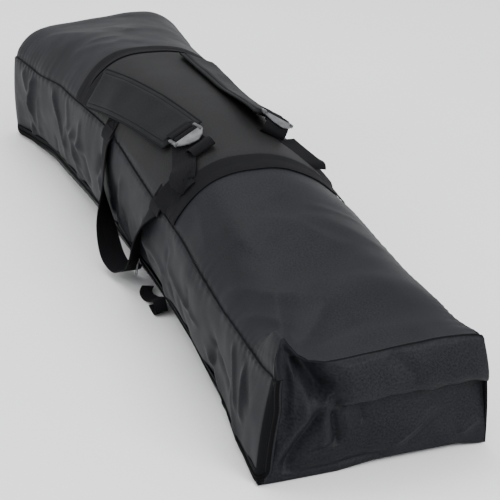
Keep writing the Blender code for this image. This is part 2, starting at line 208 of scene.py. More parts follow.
def new_finish(name, sockets):
    mat = bpy.data.materials.new(name)
    mat.use_nodes = True
    for key, value in sockets.items():
        mat.node_tree.nodes["Principled BSDF"].inputs[key].default_value = value
    return mat


def wire(mat, made):
    """Link the first output of each node into the named socket of the finish's shader."""
    shader = mat.node_tree.nodes["Principled BSDF"]
    for socket, source in made.items():
        mat.node_tree.links.new(source.outputs[0], shader.inputs[socket])
    return mat


def polyester(name, dark, light, gloss=0.52):
    """Coated 600D polyester, plain woven: a fine square grain, a faint oily sheen on the
    crowns of folds, and slight clouding where the coating behind it lies unevenly."""
    mat = new_finish(name, {"Roughness": gloss, "Specular IOR Level": 0.10,
                            "Sheen Weight": 0.004, "Sheen Roughness": 0.5})
    uv = node(mat, "ShaderNodeTexCoord").outputs["UV"]
    cloud = node(mat, "ShaderNodeTexNoise", [(uv, "Vector")],
                 in_Scale=7.0, in_Detail=5.0, in_Roughness=0.6).outputs["Fac"]
    grain = node(mat, "ShaderNodeTexNoise", [(uv, "Vector")],
                 in_Scale=1 / (2.8 * MM), in_Detail=2.0).outputs["Fac"]
    # threads are 0.5 mm apart; drawn 1.7 mm apart so that they show at all
    run, slant = (node(mat, "ShaderNodeTexWave", [(uv, "Vector")], wave_type="BANDS",
                       bands_direction=way, in_Scale=WAVE / (1.7 * MM), in_Distortion=0.6,
                       in_Detail=1.0).outputs["Fac"] for way in ("X", "DIAGONAL"))
    cross = node(mat, "ShaderNodeMix", [(run, 2), (slant, 3)], in_0=0.5).outputs[0]
    thread = node(mat, "ShaderNodeMix", [(grain, 2), (cross, 3)], in_0=0.12).outputs[0]
    tone = node(mat, "ShaderNodeMix", [(cloud, 2), (thread, 3)], in_0=0.62).outputs[0]
    both = node(mat, "ShaderNodeMix", [(cross, 2), (grain, 3)], in_0=0.45).outputs[0]
    return wire(mat, {
        "Base Color": node(mat, "ShaderNodeValToRGB", [(tone, 0)], ((0.37, dark), (0.63, light))),
        "Roughness": node(mat, "ShaderNodeMapRange", [(cloud, 0)], in_1=0.3, in_2=0.7,
                          in_3=gloss - 0.06, in_4=gloss + 0.08),
        "Normal": node(mat, "ShaderNodeBump", [(both, "Height")],
                       in_Strength=0.5, in_Distance=0.35 * MM)})


def webbing_finish(name, dark, light, rib_mm=2.4):
    """Polypropylene webbing: ribs run along it, crossed by a fine weft, nearly matt.
    The piece's own UV map is in metres, u along the strap and v across it."""
    mat = new_finish(name, {"Roughness": 0.80, "Specular IOR Level": 0.08, "Sheen Weight": 0.0})
    uv = node(mat, "ShaderNodeTexCoord").outputs["UV"]
    ribs = node(mat, "ShaderNodeTexWave", [(uv, "Vector")], wave_type="BANDS",
                bands_direction="Y", in_Scale=WAVE / (rib_mm * MM),
                in_Distortion=0.0).outputs["Fac"]
    weft = node(mat, "ShaderNodeTexWave", [(uv, "Vector")], wave_type="BANDS",
                bands_direction="X", in_Scale=WAVE / (1.8 * MM), in_Distortion=0.4,
                in_Detail=1.0).outputs["Fac"]
    fuzz = node(mat, "ShaderNodeTexNoise", [(uv, "Vector")],
                in_Scale=380.0, in_Detail=3.0).outputs["Fac"]
    weave = node(mat, "ShaderNodeMix", [(ribs, 2), (weft, 3)], in_0=0.4).outputs[0]
    tone = node(mat, "ShaderNodeMix", [(weave, 2), (fuzz, 3)], in_0=0.4).outputs[0]
    return wire(mat, {
        "Base Color": node(mat, "ShaderNodeValToRGB", [(tone, 0)], ((0.2, dark), (0.85, light))),
        "Normal": node(mat, "ShaderNodeBump", [(weave, "Height")],
                       in_Strength=0.7, in_Distance=0.5 * MM)})


def moulded(name, dark, light, gloss, metallic=0.0):
    """Moulded acetal or lacquered die-cast metal: a satin skin with faint flow marks and
    a few rubbed spots that shine a little more."""
    mat = new_finish(name, {"Roughness": gloss, "Metallic": metallic,
                            "Specular IOR Level": 0.5})
    place = node(mat, "ShaderNodeTexCoord").outputs["Object"]
    flow = node(mat, "ShaderNodeTexNoise", [(place, "Vector")],
                in_Scale=90.0, in_Detail=4.0).outputs["Fac"]
    skin = node(mat, "ShaderNodeTexNoise", [(place, "Vector")],
                in_Scale=900.0, in_Detail=2.0).outputs["Fac"]
    return wire(mat, {
        "Base Color": node(mat, "ShaderNodeValToRGB", [(flow, 0)], ((0.35, dark), (0.7, light))),
        "Roughness": node(mat, "ShaderNodeMapRange", [(flow, 0)], in_1=0.3, in_2=0.7,
                          in_3=gloss - 0.07, in_4=gloss + 0.1),
        "Normal": node(mat, "ShaderNodeBump", [(skin, "Height")],
                       in_Strength=0.25, in_Distance=0.05 * MM)})


CLOTH = polyester("coated polyester", "0c0d10", "1f2024")
BACK_CLOTH = polyester("back pad polyester", "131314", "212122", gloss=0.58)
LINING = polyester("coated inner face", "0b0b0c", "151517", gloss=0.40)
PAD_CLOTH = polyester("strap pad polyester", "0a0b0c", "191a1c", gloss=0.62)
BINDING = webbing_finish("woven edge binding", "0a0a0b", "1a1b1d", 1.5)
WEBBING = webbing_finish("polypropylene webbing", "08080a", "1a1a1c")
THREAD = webbing_finish("bonded nylon thread", "0c0c0d", "1e1e21", 0.6)
TAPE = webbing_finish("woven zip tape", "050506", "101113", 1.2)
COIL = webbing_finish("nylon zip coil", "060607", "141517", 0.8)
METAL = moulded("lacquered die-cast zinc", "77787b", "9b9c9f", 0.34, 0.8)
# painted highlight: the lip of the black buckle and a stick on one arm are drawn lighter grey,
# standing in for their lit faces
BUCKLE = moulded("black acetal lip painted lit grey", "3c3d3f", "5e5f62", 0.40)
BUCKLE_DARK = moulded("black acetal buckle", "1b1b1d", "37383b", 0.32)


# ---------------------------------------------------------------- the bag's own shape
# Half widths and heights are given at a few stations along the bag.
SEAM_Y_LEFT = ((-0.632, 0.155), (-0.50, 0.146), (-0.38, 0.134), (-0.15, 0.128), (0.12, 0.134),
               (0.42, 0.142), (0.632, 0.145))
SEAM_Z_LEFT = ((-0.632, 0.152), (-0.50, 0.160), (-0.38, 0.175), (-0.15, 0.192), (0.12, 0.177),
               (0.22, 0.173), (0.43, 0.150), (0.58, 0.146), (0.632, 0.152))
SEAM_Y_RIGHT = ((-0.632, 0.148), (-0.45, 0.138), (-0.15, 0.128), (0.15, 0.133), (0.42, 0.133),
                (0.56, 0.135), (0.632, 0.144))
SEAM_Z_RIGHT = ((-0.632, 0.170), (-0.30, 0.178), (0.0, 0.180), (0.20, 0.170), (0.42, 0.162),
                (0.58, 0.162), (0.632, 0.166))
CROWN_Z = ((-0.632, 0.205), (-0.58, 0.214), (-0.45, 0.238), (-0.285, 0.258), (-0.05, 0.262),
           (0.18, 0.250), (0.33, 0.226), (0.47, 0.196), (0.58, 0.175), (0.632, 0.169))
CROWN_POWER = ((-0.632, 6.0), (-0.40, 3.0), (0.0, 2.5), (0.18, 2.5), (0.40, 3.4), (0.632, 5.0))
FOOT_Y_LEFT = ((-0.632, 0.154), (-0.56, 0.138), (-0.45, 0.126), (-0.25, 0.121), (0.08, 0.120),
               (0.27, 0.127), (0.40, 0.137), (0.55, 0.159), (0.632, 0.167))
FOOT_Y_RIGHT = ((-0.632, 0.152), (-0.45, 0.138), (-0.10, 0.127), (0.30, 0.131), (0.50, 0.148),
                (0.632, 0.157))
FOOT_Z = ((-0.632, 0.003), (-0.45, 0.013), (-0.20, 0.021), (0.20, 0.020), (0.45, 0.008),
          (0.632, 0.002))
FLAT_FOOT = 0.092         # half the width that lies flat on the floor
ON_FLOOR = 0.0013         # nothing is drawn lower than this, before its thickness


def seam_left(x):
    return Vector((x, -through(SEAM_Y_LEFT, x), through(SEAM_Z_LEFT, x)))


def seam_right(x):
    return Vector((x, through(SEAM_Y_RIGHT, x), through(SEAM_Z_RIGHT, x)))


def foot_left(x):
    return Vector((x, -through(FOOT_Y_LEFT, x), through(FOOT_Z, x)))


def foot_right(x):
    return Vector((x, through(FOOT_Y_RIGHT, x), through(FOOT_Z, x)))


def end_round(x):
    """How far the far end is drawn in where its corners are rounded."""
    past = max(0.0, -x - (HALF - 0.030)) / 0.030
    return 0.0096 * past * past


def corner_round(x):
    """How far the flap's side turns in at the near corner, where the zip runs up."""
    past = max(0.0, x - (HALF - 0.015)) / 0.015
    return 0.011 * (1.0 - math.sqrt(max(0.0, 1.0 - past * past)))


def corner_peak(x, a):
    """The near corner beside the flap is pulled up into a soft point and drawn back."""
    near = smooth((x - 0.49) / 0.115)
    if near <= 0.0 or a > 0.2:
        return 0.0, 0.0
    rise = through(((-1.0, 0.0), (-0.95, 0.34), (-0.90, 0.74), (-0.86, 0.90), (-0.82, 0.62),
                    (-0.76, 0.32), (-0.68, 0.13), (-0.54, 0.02), (0.1, 0.0)), a)
    back = through(((-1.0, 0.0), (-0.93, 0.7), (-0.86, 1.0), (-0.78, 0.50), (-0.68, 0.14),
                    (-0.5, 0.0)), a)
    return -0.030 * back * smooth((x - 0.55) / 0.08), 0.037 * rise * near ** 1.6


def crown(x, a):
    """Top of the bag; a runs from -1 at the flap's seam to 1 at the other one."""
    back, peak = corner_peak(x, a)
    left, right = seam_left(x), seam_right(x)
    chord = left.lerp(right, a / 2 + 0.5)
    rise = max(0.0, through(CROWN_Z, x) - (left.z + right.z) / 2)
    lean = a + 0.10 * (1.0 - a * a)
    height = rise * (1.0 - abs(lean) ** through(CROWN_POWER, x))
    drawn = end_round(x)
    return chord + Vector((back, -drawn * a ** 3, height + peak - drawn))


def crown_normal(x, a):
    side = crown(x, min(1.0, a + 0.02)) - crown(x, max(-1.0, a - 0.02))
    run = crown(x + 0.004, a) - crown(x - 0.004, a)
    return run.cross(side).normalized()


def crown_a(x, y):
    """How far across the crown a place in plan is."""
    left, right = seam_left(x).y, seam_right(x).y
    return (y - left) / (right - left) * 2 - 1


def on_crown(x, y, lift):
    """A point above the crown at a given place in plan."""
    a = min(1.0, max(-1.0, crown_a(x, y)))
    return crown(x, a) + crown_normal(x, a) * lift


def flank(x, t, right=False):
    """A side of the bag; t runs from 0 at the top seam to 1 at the foot."""
    top, foot = (seam_right(x), foot_right(x)) if right else (seam_left(x), foot_left(x))
    out = 1.0 if right else -1.0
    belly = mix(0.004, 0.013, smooth(1.0 - (abs(x) - 0.25) / 0.3)) * 4 * t * (1 - t)
    point = top.lerp(foot, t) + Vector((0.0, out * belly, 0.0))
    point.y -= out * end_round(x)
    point.z -= end_round(x) * (1.0 - t)
    if not right:
        point.y += corner_round(x) * smooth(t / 0.35)
    return point


def foot_bow(x, y):
    """Height of the underside: flat in the middle and bowed up towards its edges."""
    half = through(FOOT_Y_RIGHT, x) if y > 0 else through(FOOT_Y_LEFT, x)
    out = max(0.0, (abs(y) - FLAT_FOOT) / (half - FLAT_FOOT))
    return 0.0006 + through(FOOT_Z, x) * out ** 1.6


# ---------------------------------------------------------------- folds in the cloth
class Fold:
    """A soft ridge or furrow along a line drawn on a panel."""

    def __init__(self, start, end, width, height, sharp=1.3):
        self.start, self.width, self.height, self.sharp = start, width, height, sharp
        self.dx, self.dy = end[0] - start[0], end[1] - start[1]
        self.length = math.hypot(self.dx, self.dy)

    def at(self, p, q):
        px, py = p - self.start[0], q - self.start[1]
        along = (px * self.dx + py * self.dy) / self.length
        if along < -self.width * 2 or along > self.length + self.width * 2:
            return 0.0
        off = abs(px * self.dy - py * self.dx) / self.length
        if off > self.width * 4:
            return 0.0
        t = min(1.0, max(0.0, along / self.length))
        taper = smooth(t * 4) * smooth((1.0 - t) * 4)
        return self.height * taper * math.exp(-((off / self.width) ** self.sharp))


def sum_folds(folds, p, q):
    return sum(f.at(p, q) for f in folds)


def ripple(x, y, z, size, height, seed=0.0):
    return height * noise.noise(Vector((x / size + seed, y / size - seed, z / size + 2 * seed)))


def scatter_folds(seed, count, x_span, q_span, slant, length, width, height):
    """Folds strewn over a panel, seeded, so that every run has the same ones."""
    rng = random.Random(seed)
    made = []
    for _ in range(count):
        x, q = rng.uniform(*x_span), rng.uniform(*q_span)
        turn = rng.uniform(*slant)
        reach = rng.uniform(*length)
        end = (x + reach * math.cos(turn), q + reach * math.sin(turn))
        tall = rng.uniform(*height) * rng.choice((1.0, 1.0, -0.8))
        made.append(Fold((x, q), end, rng.uniform(*width), tall, rng.uniform(1.1, 1.7)))
    return made


# Flap folds hang from the top seam and lean towards the near end; q is metres below the seam.
FLAP_FOLDS = scatter_folds(11, 34, (-0.58, 0.56), (0.0, 0.10), (0.9, 1.9), (0.05, 0.14),
                           (0.0060, 0.011), (0.0025, 0.0065))
FLAP_FOLDS += scatter_folds(23, 10, (-0.5, 0.45), (0.03, 0.14), (0.1, 0.6), (0.10, 0.22),
                            (0.006, 0.012), (0.002, 0.005))
RIGHT_FOLDS = scatter_folds(31, 26, (-0.58, 0.56), (0.0, 0.10), (1.0, 2.1), (0.05, 0.12),
                            (0.005, 0.011), (0.0015, 0.0045))
# Crown folds: faint, running out of the seams and bands; q is metres from the middle line.
CROWN_FOLDS = scatter_folds(7, 10, (0.22, 0.58), (-0.13, 0.10), (0.2, 1.4), (0.06, 0.16),
                            (0.008, 0.016), (0.0008, 0.002))
CROWN_FOLDS += scatter_folds(9, 8, (-0.60, -0.36), (-0.13, 0.10), (0.4, 1.6), (0.05, 0.12),
                             (0.008, 0.014), (0.0008, 0.002))
CROWN_FOLDS += [
    Fold((0.600, -0.118), (0.46, -0.080), 0.011, 0.0038),
    Fold((0.600, -0.112), (0.47, -0.050), 0.014, -0.0014),
    Fold((0.602, -0.104), (0.51, -0.020), 0.012, 0.0036),
    Fold((0.600, -0.094), (0.56, 0.020), 0.012, -0.0016),
    Fold((0.585, -0.122), (0.42, -0.122), 0.012, -0.0030),
    Fold((0.40, -0.139), (0.52, -0.060), 0.010, 0.0030),
    Fold((0.47, -0.135), (0.56, -0.085), 0.007, 0.0030),
    Fold((0.205, -0.100), (0.33, -0.125), 0.008, 0.0025),
]


def seam_pinch(distance, depth=0.0022, width=0.0035):
    """The cloth dives into a sewn seam."""
    return -depth * math.exp(-((distance / width) ** 2))


def puckers(x, distance, height=0.0011, pitch=0.017):
    """Little puckers along a sewn seam."""
    uneven = 0.5 + noise.noise(Vector((x * 16, 3.0, 1.0)))
    wave = math.sin(x / pitch * 2 * math.pi + 5 * math.sin(x * 23))
    return height * uneven * wave * math.exp(-distance / 0.010)


def crown_cloth(x, a):
    """The crown with its folds, in the near and far panels and the back pad."""
    base = crown(x, a)
    normal = crown_normal(x, a)
    y = base.y
    d_left = (a + 1.0) * 0.135
    d_right = (1.0 - a) * 0.135
    lift = seam_pinch(d_left) + seam_pinch(d_right)
    lift += puckers(x, d_left) + puckers(x + 0.3, d_right)
    edge = smooth(min(abs(x - BAND_FAR), abs(x - BAND_NEAR)) / 0.03)
    if BAND_FAR < x < BAND_NEAR:
        lift += 0.0045 * edge * smooth(d_left / 0.03) * smooth(d_right / 0.03)
        lift += ripple(x, y, 0.0, 0.09, 0.0012, 3.0)
    else:
        lift += sum_folds(CROWN_FOLDS, x, y) * edge
        lift += ripple(x, y, 0.0, 0.11, 0.0035, 1.0) * edge + ripple(x, y, 0.0, 0.035, 0.0008,
                                                                     5.0)
    return base + normal * lift


def side_cloth(x, t, right=False):
    """A side with its folds; q is metres below the top seam."""
    q = t * SIDE_TALL
    fade = smooth((HALF - 0.012 - abs(x)) / 0.04)
    low = smooth((SIDE_TALL - q) / 0.02)
    lift = sum_folds(RIGHT_FOLDS if right else FLAP_FOLDS, x, q) * fade * low
    lift += puckers(x, q, 0.0014)
    lift += ripple(x, q, 0.0, 0.12, 0.006, 2.0 if right else 8.0) * fade * smooth(q / 0.03) * low
    lift += ripple(x, q, 0.0, 0.03, 0.0012, 4.0) * fade * low
    lift += seam_pinch(q)
    return flank(x, t, right) + Vector((0.0, lift if right else -lift, 0.0))


# ---------------------------------------------------------------- shell
def near_hem(x, y):
    """The hem of the near end stands a few millimetres off the floor."""
    across = smooth((y + 0.09) / 0.10) * smooth((0.157 - y) / 0.05)
    return 0.008 * smooth((x - 0.58) / 0.052) * across


def floor_cloth(x, across):
    """The underside; across runs from 0 at the flap's side to 1 at the other."""
    left, right, inset = foot_left(x).y, foot_right(x).y, end_round(x)
    y = max(left + inset, min(right - inset, mix(left, right, across)))
    return Vector((x, y, foot_bow(x, y) + near_hem(x, y)))


def body_loop(x, s):
    """A point of the body's cloth: s runs 0-1 from the zip, under the foot, up the far
    side and over the crown to the flap's seam."""
    if s < 0.03:
        zip_t = 1.0 - (zip_low(x) - 0.5 * MM) / SIDE_TALL
        return side_cloth(x, mix(zip_t, 1.0, s / 0.03))
    if s < 0.33:
        return floor_cloth(x, (s - 0.03) / 0.30)
    if s < 0.53:
        return side_cloth(x, 1.0 - (s - 0.33) / 0.20, True)
    return crown_cloth(x, 1.0 - 2.0 * (s - 0.53) / 0.47)


def shell_spread(v):
    """Rows are closer together beside the seams."""
    marks = (0.0, 0.03, 0.33, 0.53, 1.0)
    rows = (0.0, 0.05, 0.25, 0.47, 1.0)
    for r0, r1, m0, m1 in zip(rows, rows[1:], marks, marks[1:]):
        if v <= r1 + 1e-9:
            t = (v - r0) / (r1 - r0)
            eased = t - math.sin(2 * math.pi * t) / (2 * math.pi) * 0.72
            return mix(m0, m1, eased)
    return 1.0


def build_shell():
    def place(u, v):
        x = mix(-HALF, HALF, u - math.sin(2 * math.pi * u) / (2 * math.pi) * 0.25)
        return body_loop(x, shell_spread(v))

    grid_sheet(220, 150, place, (1.26, 0.95))
    count = len(bpy.context.object.data.polygons)
    thicken(CLOTH_T, 1.0)
    for k, poly in enumerate(bpy.context.object.data.polygons):
        if k < count:
            # this sheet faces inwards, so its first set of faces is the lining
            poly.material_index = 2
        elif (BAND_FAR < poly.center.x < BAND_NEAR and poly.center.z > 0.195
              and poly.normal.z > 0.2):
            poly.material_index = 1
    stands = ("top_panel_far", "back_pad", "top_panel_near", "right_side_panel", "bottom_panel")
    shell = finish_piece("body_shell", CLOTH, "bag_body", stands, inner=BACK_CLOTH)
    shell.data.materials.append(LINING)


# Near end: q is across (left -1, right 1), r is up (0 foot, 1 top).
NEAR_FOLDS = [
    Fold((-0.76, 1.06), (-0.50, 0.66), 0.105, -0.030,
         1.9),      # valley under the drawn-back corner
    Fold((-0.50, 0.70), (-0.42, 0.62), 0.050, -0.008, 1.5),      # dimple where the folds meet
    Fold((-0.50, 0.66), (-0.88, 0.02), 0.055, -0.013, 1.5),
    Fold((-0.64, 0.66), (-0.96, 0.10), 0.060, 0.010, 1.7),
    Fold((-0.46, 0.62), (-0.37, 0.22), 0.036, -0.009, 1.5),
    Fold((-0.56, 0.56), (-0.50, 0.22), 0.050, 0.006, 1.6),
    Fold((-0.36, 0.60), (-0.28, 0.30), 0.040, 0.005, 1.5),
    Fold((-0.21, 0.60), (-0.14, 0.36), 0.035, -0.004, 1.5),
    Fold((-0.80, 0.16), (-0.30, 0.30), 0.040, -0.004, 1.5),
    Fold((0.10, 0.10), (0.58, 0.42), 0.035, 0.004, 1.4),
    Fold((0.20, 0.06), (0.66, 0.36), 0.035, -0.003, 1.4),
    Fold((0.72, 0.10), (0.98, 0.26), 0.040, 0.004, 1.5),
    Fold((-0.90, 0.07), (0.15, 0.06), 0.035, -0.004, 1.6),
    Fold((0.05, 0.98), (0.30, 0.72), 0.060, -0.002, 1.5),
]


def near_crease(q, r):
    """The end is folded across the middle: its upper half hangs over its lower half."""
    line = 0.618 - 0.028 * (q + 0.4) + 0.010 * math.sin(9 * q) + 0.006 * math.sin(23 * q + 1)
    along = smooth((q + 0.52) / 0.22)
    over = (r - line) / (1.0 - line)
    if over > 0:
        return along * 0.0125 * math.sin(math.pi * min(1.0, over) ** 0.50) ** 0.8
    below = -over * (1.0 - line)
    return -along * 0.0100 * smooth(below / 0.022) * (1.0 - smooth((below - 0.06) / 0.42))


FAR_FOLDS = [
    Fold((-0.9, 0.95), (-0.3, 0.45), 0.08, 0.006),
    Fold((0.9, 0.95), (0.35, 0.50), 0.08, 0.006),
    Fold((-0.8, 0.05), (-0.2, 0.40), 0.08, -0.005),
    Fold((-0.7, 0.55), (0.8, 0.60), 0.07, -0.006),
]


def build_cap(name, sign, node_name):
    """One end of the bag, at its near end (sign 1) or its far end (sign -1)."""
    x = sign * HALF

    def chord(q, r):
        return floor_cloth(x, q / 2 + 0.5).lerp(crown_cloth(x, q), r)

    def place(u, r):
        q = u * 2 - 1
        point = chord(q, r)
        left, right = side_cloth(x, 1 - r), side_cloth(x, 1 - r, True)
        point += (left - chord(-1, r)) * (1 - u) + (right - chord(1, r)) * u
        inside = smooth((1 - abs(q)) / 0.10) * smooth(r / 0.08) * smooth((1 - r) / 0.06)
        lift = 0.008 * (1 - q * q) * 4 * r * (1 - r)
        lift += inside * sum_folds(NEAR_FOLDS if sign > 0 else FAR_FOLDS, q, r)
        if sign > 0:
            rim = smooth(r / 0.08) * smooth((1 - r) / 0.06) * smooth((1.04 - q) / 0.06)
            lift += near_crease(q, r) * rim
        lift += inside * (ripple(q, r, sign, 0.5, 0.003, 1.0)
                          + ripple(q, r, sign, 0.16, 0.0012, 2.0))
        return point + Vector((sign * lift, 0.0, 0.0))

    grid_sheet(170, 120, place, (0.30, SIDE_TALL))
    if sign < 0:
        bpy.context.object.data.flip_normals()
    thicken_and_line()
    finish_piece(name, CLOTH, "bag_body", (node_name,), inner=LINING)


def zip_low(x):
    """Height of the coil above the foot edge: lower towards both ends."""
    return mix(ZIP_UP, ZIP_UP_ENDS, smooth((abs(x) - 0.40) / 0.19))


def zip_line(offset, count_foot=180, count_side=26, count_turn=14):
    """The zip's U as (x, height above the foot) points, at an offset inside the coil."""
    end = HALF - ZIP_INSET - offset
    low = zip_low(HALF) + offset
    radius = ZIP_R - offset
    half = [(end, mix(ZIP_TOP, low + radius, i / count_side)) for i in range(count_side)]
    for i in range(count_turn + 1):
        turn = math.pi / 2 * i / count_turn
        half.append((end - radius + radius * math.cos(turn),
                     low + radius - radius * math.sin(turn)))
    along = [mix(end - radius, radius - end, i / count_foot) for i in range(1, count_foot)]
    foot = [(x, zip_low(x) + offset) for x in along]
    return half + foot + [(-x, h) for x, h in reversed(half)]


def on_side(x, height, lift=0.0):
    """A point of the flap side, by its height above the foot edge."""
    t = 1.0 - height / SIDE_TALL
    limit = HALF - 0.0004
    if abs(x) > limit:
        # round the corner and on across the end
        edge = flank(math.copysign(limit, x), t)
        proud = math.copysign(0.0004 + max(lift, 0.0006), x)
        return edge + Vector((proud, abs(x) - limit, 0.0))
    run = flank(x + 0.0004, t) - flank(x - 0.0008, t)
    up = flank(x, max(0.0, t - 0.02)) - flank(x, min(1.0, t + 0.02))
    return flank(x, t) + run.cross(up).normalized() * lift


def build_flap():
    offset = TAPE_W - 1.0 * MM
    end = HALF - ZIP_INSET - offset
    radius = ZIP_R - offset

    def place(u, v):
        w = u - math.sin(2 * math.pi * u) / (2 * math.pi) * 0.35
        x = mix(-end, end, w)
        past = max(0.0, abs(x) - (end - radius))
        foot = zip_low(x) + offset + radius - math.sqrt(max(0.0, radius * radius - past * past))
        return side_cloth(x, mix(1.0 - foot / SIDE_TALL, 0.0, v))

    grid_sheet(300, 52, place, (1.2, 0.14))
    thicken_and_line()
    return finish_piece("flap_cloth", CLOTH, None, ("side_flap",), inner=LINING)


def build_gusset():
    """The body's own cloth around the zip: at both ends and below the coil."""
    rim = zip_line(-6.0 * MM, 120, 20, 10)

    def place(u, v):
        x, h = rim[min(len(rim) - 1, int(round(u * (len(rim) - 1))))]
        if abs(x) > HALF - 0.064 and h < 0.064:
            past = smooth((abs(x) - HALF + 0.064) / 0.03)
            far_x = math.copysign(mix(abs(x), HALF, past), x)
            far_h = mix(0.0, h, smooth((h - 0.006) / 0.05))
        else:
            at_end = abs(x) > HALF - 0.034
            far_x = math.copysign(min(HALF, abs(x) + 0.03), x) if at_end else x
            far_h = 0.0 if h < 0.04 else h
        return on_side(mix(x, far_x, v), mix(h, far_h, v), -0.2 * MM)

    grid_sheet(len(rim) - 1, 4, place, (1.5, 0.02))
    thicken(1.0 * MM)
    finish_piece("zip_gusset", CLOTH, "bag_body")


def zip_ribbon(name, near, far, body, nodes):
    """One half of the zip's tape, between two offsets from the coil."""
    one, two = zip_line(near), zip_line(far)

    def place(u, v):
        i = min(len(one) - 1, int(round(u * (len(one) - 1))))
        x, h = mix(one[i][0], two[i][0], v), mix(one[i][1], two[i][1], v)
        return on_side(x, h, 0.3 * MM)

    grid_sheet(len(one) - 1, 4, place, (1.5, abs(far - near)))
    thicken(0.9 * MM, 0.0)
    finish_piece(name, TAPE, body, nodes)


def tooth_row(name, sense, body, nodes):
    """One half of the coil: a row of square nylon turns set into the tape's edge."""
    fine = (420, 56, 18)
    points = [on_side(x, h) for x, h in zip_line(0.0, *fine)]
    inner = [on_side(x, h) for x, h in zip_line(0.004, *fine)]
    travel = [0.0]
    for a, b in zip(points, points[1:]):
        travel.append(travel[-1] + (b - a).length)
    pitch = 2.9 * MM
    bm = bmesh.new()
    k = 0
    for j in range(int(travel[-1] / pitch)):
        want = (j + (0.5 if sense > 0 else 0.0)) * pitch
        while k < len(travel) - 2 and travel[k + 1] < want:
            k += 1
        t = (want - travel[k]) / max(1e-9, travel[k + 1] - travel[k])
        here = points[k].lerp(points[k + 1], t)
        run = (points[k + 1] - points[k]).normalized()
        inward = (inner[k] - points[k]).normalized()
        out = run.cross(inward).normalized()
        if (-out.x * here.x if abs(here.x) > HALF - 0.001 else out.y) > 0:
            out = -out
        inward = inward * sense
        centre = here + inward * 0.9 * MM + out * 0.9 * MM
        block(bm, centre, (run, inward, out), (1.55 * MM, 4.2 * MM, 1.9 * MM))
    piece_from(bm, name, COIL, body, nodes, 35)


# ---------------------------------------------------------------- webbing
def ribbon(name, path, across, width, body, nodes=(), thick=WEB_T, rows=6):
    """Webbing along a path of points. Its width runs along across: one direction, or a
    list with one for every point."""
    steps = len(path) - 1
    length = sum((b - a).length for a, b in zip(path, path[1:]))
    frames = []
    for i, point in enumerate(path):
        tangent = (path[min(i + 1, steps)] - path[max(i - 1, 0)]).normalized()
        way = across[i] if isinstance(across, list) else across
        side_way = (way - tangent * way.dot(tangent)).normalized()
        frames.append((point, side_way, tangent.cross(side_way).normalized()))

    def place(u, v):
        point, side_way, normal = frames[min(steps, int(round(u * steps)))]
        c = v * 2 - 1
        camber = (1.0 - c * c) * 0.4 * MM
        return point + side_way * (c * width / 2) + normal * camber

    grid_sheet(steps, rows, place, (length, width))
    thicken(thick, 0.0)
    return finish_piece(name, WEBBING, body, nodes)


def soft_path(keys, count=80):
    """A Catmull-Rom curve through points."""
    keys = [Vector(k) for k in keys]
    ends = [keys[0] * 2 - keys[1]] + keys + [keys[-1] * 2 - keys[-2]]
    out = []
    spans = len(keys) - 1
    for i in range(count + 1):
        s = i / count * spans
        k = min(spans - 1, int(s))
        t = s - k
        p0, p1, p2, p3 = ends[k:k + 4]
        out.append(0.5 * ((2 * p1) + (p2 - p0) * t + (2 * p0 - 5 * p1 + 4 * p2 - p3) * t * t
                          + (3 * p1 - p0 - 3 * p2 + p3) * t ** 3))
    return out


def seam_cord(name, points, radius=0.9 * MM):
    """The dark line of a sewn seam: a fine cord lying in its groove."""
    steps = len(points) - 1
    rings = []
    for i, point in enumerate(points):
        run = (points[min(steps, i + 1)] - points[max(0, i - 1)]).normalized()
        a = run.cross(Vector((0.3, -0.5, 0.8))).normalized()
        rings.append((point, a, run.cross(a)))

    def place(u, v):
        point, a, b = rings[int(round(u * steps))]
        turn = v * 2 * math.pi
        return point + (a * math.cos(turn) + b * math.sin(turn)) * radius

    grid_sheet(steps, 6, place, (1.2, 0.006))
    merge_close(0.00002)
    finish_piece(name, WEBBING, "bag_body", (), 80)


def all_seams():
    xs = [mix(-HALF, HALF, i / 300) for i in range(301)]
    for name, a, drop in (("left_top_seam", -1.0, 0.0012), ("right_top_seam", 1.0, 0.0002)):
        seam_cord(name, [crown_cloth(x, a) + Vector((0, -0.0008, drop)) for x in xs])
    row = [crown_cloth(HALF, mix(-0.70, 1.0, i / 140)) for i in range(141)]
    seam_cord("near_top_seam", [p + Vector((0.0006, 0, 0.0006)) for p in row])
    row = [side_cloth(HALF, 1 - i / 60, True) + Vector((0.0004, 0.0004, 0)) for i in range(61)]
    seam_cord("near_right_seam", row, 0.7 * MM)
    foot = [Vector((x, foot_right(x).y, foot_bow(x, foot_right(x).y))) for x in xs]
    seam_cord("right_foot_seam", foot, 0.7 * MM)


# ---------------------------------------------------------------- floor, camera and light
CAMERA_AIM = (0.1672, -0.0020, 0.1)
CAMERA_AZIMUTH, CAMERA_RISE, CAMERA_ROLL = 68.92, 25.61, 0.78
CAMERA_AWAY = 2.96
CAMERA_LENS = 144         # mm, on a 36 mm wide sensor


def lay_floor():
    start_fresh()
    bpy.ops.mesh.primitive_plane_add(size=24, location=(0, 0, -0.0005))
    floor = bpy.context.object
    floor.name = "studio_floor"
    mat = new_finish("pale studio paper", {"Roughness": 0.9})
    place = node(mat, "ShaderNodeTexCoord").outputs["Object"]
    grain = node(mat, "ShaderNodeTexNoise", [(place, "Vector")], in_Scale=3.0, in_Detail=3.0)
    wire(mat, {"Base Color": node(mat, "ShaderNodeValToRGB", [(grain.outputs["Fac"], 0)],
                                  ((0.2, "f1f1f1"), (0.8, "f6f6f6")))})
    floor.data.materials.append(mat)


